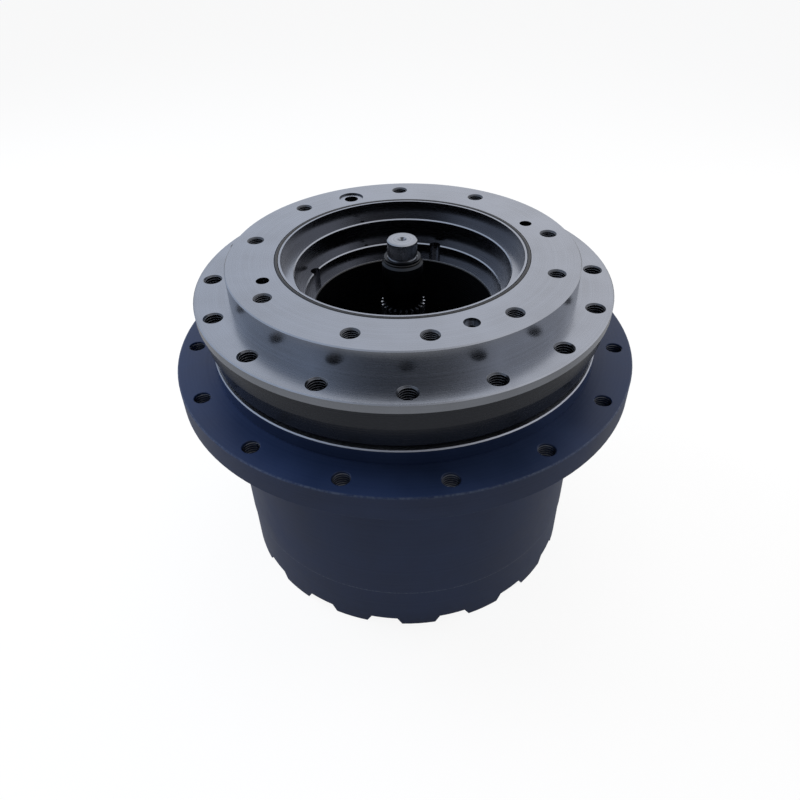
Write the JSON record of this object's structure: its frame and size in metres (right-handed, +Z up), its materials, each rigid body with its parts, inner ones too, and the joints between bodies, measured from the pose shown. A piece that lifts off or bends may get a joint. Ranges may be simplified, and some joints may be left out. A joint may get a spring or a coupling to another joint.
{
  "type": "excavator final drive",
  "caption": "Planetary travel reduction gear of a tracked excavator: a fixed flanged spindle with a stepped motor bore, and a turning hub with a sprocket flange and castellated end cover.",
  "frame": {"origin": "centre of the end cover's castellated rim, on the surface that the drive stands on", "axes": "+Z up the axis of the drive, from the end cover towards the motor face; +X towards one of the frame holes"},
  "size_m": [0.454, 0.4538, 0.3475],
  "materials": {
    "machined_steel": "turned, satin",
    "hub_paint": "dark slate primer, satin",
    "bearing_steel": "ground",
    "gear_steel": "hardened and ground",
    "cast_carrier": "machined cast iron",
    "cage_brass": "machined",
    "copper": "flat copper washer",
    "black_rubber": "moulded",
    "gasket": "fibre gasket with sealant",
    "bolt_steel": "black oxide",
    "shaft_steel": "ground"
  },
  "bodies": {
    "spindle": {"spindle": "machined_steel", "motor_face_o_ring": "black_rubber", "spindle_seal_ring": "bearing_steel", "spindle_seal_rubber": "black_rubber", "upper_bearing_inner_race": "bearing_steel", "lower_bearing_inner_race": "bearing_steel", "bearing_spacer": "bearing_steel", "bearing_nut": "bearing_steel", "second_carrier": "cast_carrier", "second_pins": "gear_steel", "second_thrust_washers": "cage_brass", "carrier_bolts": "bolt_steel", "carrier_dowels": "bolt_steel"},
    "hub": {"hub": "hub_paint", "hub_seal_ring": "bearing_steel", "hub_seal_rubber": "black_rubber", "upper_bearing_outer_race": "bearing_steel", "lower_bearing_outer_race": "bearing_steel", "ring_gear": "gear_steel", "ring_gear_dowels": "bolt_steel", "end_cover": "hub_paint", "cover_gasket": "gasket", "cover_bolts": "bolt_steel", "oil_plugs": "bolt_steel", "oil_plug_washers": "copper", "thrust_pad": "bearing_steel"},
    "upper_ball_set": {"upper_bearing_balls": "bearing_steel", "upper_bearing_cage": "cage_brass"},
    "lower_ball_set": {"lower_bearing_balls": "bearing_steel", "lower_bearing_cage": "cage_brass"},
    "first_carrier": {"first_carrier": "cast_carrier", "first_pins": "gear_steel", "first_pin_snap_rings": "bolt_steel", "first_thrust_washers": "cage_brass", "second_sun": "gear_steel"},
    "input_shaft": {"input_shaft": "shaft_steel", "input_sleeve": "shaft_steel", "sleeve_o_ring": "black_rubber"},
    "first_planet_1": {"first_planet_1": "gear_steel", "first_planet_1_rollers": "bearing_steel"},
    "first_planet_2": {"first_planet_2": "gear_steel", "first_planet_2_rollers": "bearing_steel"},
    "first_planet_3": {"first_planet_3": "gear_steel", "first_planet_3_rollers": "bearing_steel"},
    "second_planet_1": {"second_planet_1": "gear_steel", "second_planet_1_rollers": "bearing_steel"},
    "second_planet_2": {"second_planet_2": "gear_steel", "second_planet_2_rollers": "bearing_steel"},
    "second_planet_3": {"second_planet_3": "gear_steel", "second_planet_3_rollers": "bearing_steel"},
    "second_planet_4": {"second_planet_4": "gear_steel", "second_planet_4_rollers": "bearing_steel"}
  },
  "joints": [
    {"name": "hub_spin", "type": "hinge", "parent": "spindle", "child": "hub", "pos_m": [0, 0, 0.2], "axis": [0, 0, 1], "continuous": true},
    {"name": "upper_balls_spin", "type": "hinge", "parent": "spindle", "child": "upper_ball_set", "pos_m": [0, 0, 0.22], "axis": [0, 0, 1], "continuous": true},
    {"name": "lower_balls_spin", "type": "hinge", "parent": "spindle", "child": "lower_ball_set", "pos_m": [0, 0, 0.182], "axis": [0, 0, 1], "continuous": true},
    {"name": "first_carrier_spin", "type": "hinge", "parent": "spindle", "child": "first_carrier", "pos_m": [0, 0, 0.07], "axis": [0, 0, 1], "continuous": true},
    {"name": "first_planet_1_spin", "type": "hinge", "parent": "first_carrier", "child": "first_planet_1", "pos_m": [0.07875, 0, 0.046], "axis": [0, 0, 1], "continuous": true},
    {"name": "first_planet_2_spin", "type": "hinge", "parent": "first_carrier", "child": "first_planet_2", "pos_m": [-0.03938, 0.0682, 0.046], "axis": [0, 0, 1], "continuous": true},
    {"name": "first_planet_3_spin", "type": "hinge", "parent": "first_carrier", "child": "first_planet_3", "pos_m": [-0.03938, -0.0682, 0.046], "axis": [0, 0, 1], "continuous": true},
    {"name": "second_planet_1_spin", "type": "hinge", "parent": "spindle", "child": "second_planet_1", "pos_m": [0.084, 0, 0.105], "axis": [0, 0, 1], "continuous": true},
    {"name": "second_planet_2_spin", "type": "hinge", "parent": "spindle", "child": "second_planet_2", "pos_m": [0, 0.084, 0.105], "axis": [0, 0, 1], "continuous": true},
    {"name": "second_planet_3_spin", "type": "hinge", "parent": "spindle", "child": "second_planet_3", "pos_m": [-0.084, 0, 0.105], "axis": [0, 0, 1], "continuous": true},
    {"name": "second_planet_4_spin", "type": "hinge", "parent": "spindle", "child": "second_planet_4", "pos_m": [0, -0.084, 0.105], "axis": [0, 0, 1], "continuous": true},
    {"name": "input_spin", "type": "hinge", "parent": "spindle", "child": "input_shaft", "pos_m": [0, 0, 0.3], "axis": [0, 0, 1], "continuous": true}
  ],
  "couplings": [
    {"joint": "upper_balls_spin", "follows": "hub_spin", "ratio": 0.53276},
    {"joint": "lower_balls_spin", "follows": "hub_spin", "ratio": 0.53276},
    {"joint": "first_carrier_spin", "follows": "hub_spin", "ratio": -4.3333},
    {"joint": "first_planet_1_spin", "follows": "hub_spin", "ratio": 12.606},
    {"joint": "first_planet_2_spin", "follows": "hub_spin", "ratio": 12.606},
    {"joint": "first_planet_3_spin", "follows": "hub_spin", "ratio": 12.606},
    {"joint": "second_planet_1_spin", "follows": "hub_spin", "ratio": 2.6},
    {"joint": "second_planet_2_spin", "follows": "hub_spin", "ratio": 2.6},
    {"joint": "second_planet_3_spin", "follows": "hub_spin", "ratio": 2.6},
    {"joint": "second_planet_4_spin", "follows": "hub_spin", "ratio": 2.6},
    {"joint": "input_spin", "follows": "hub_spin", "ratio": -39}
  ]
}
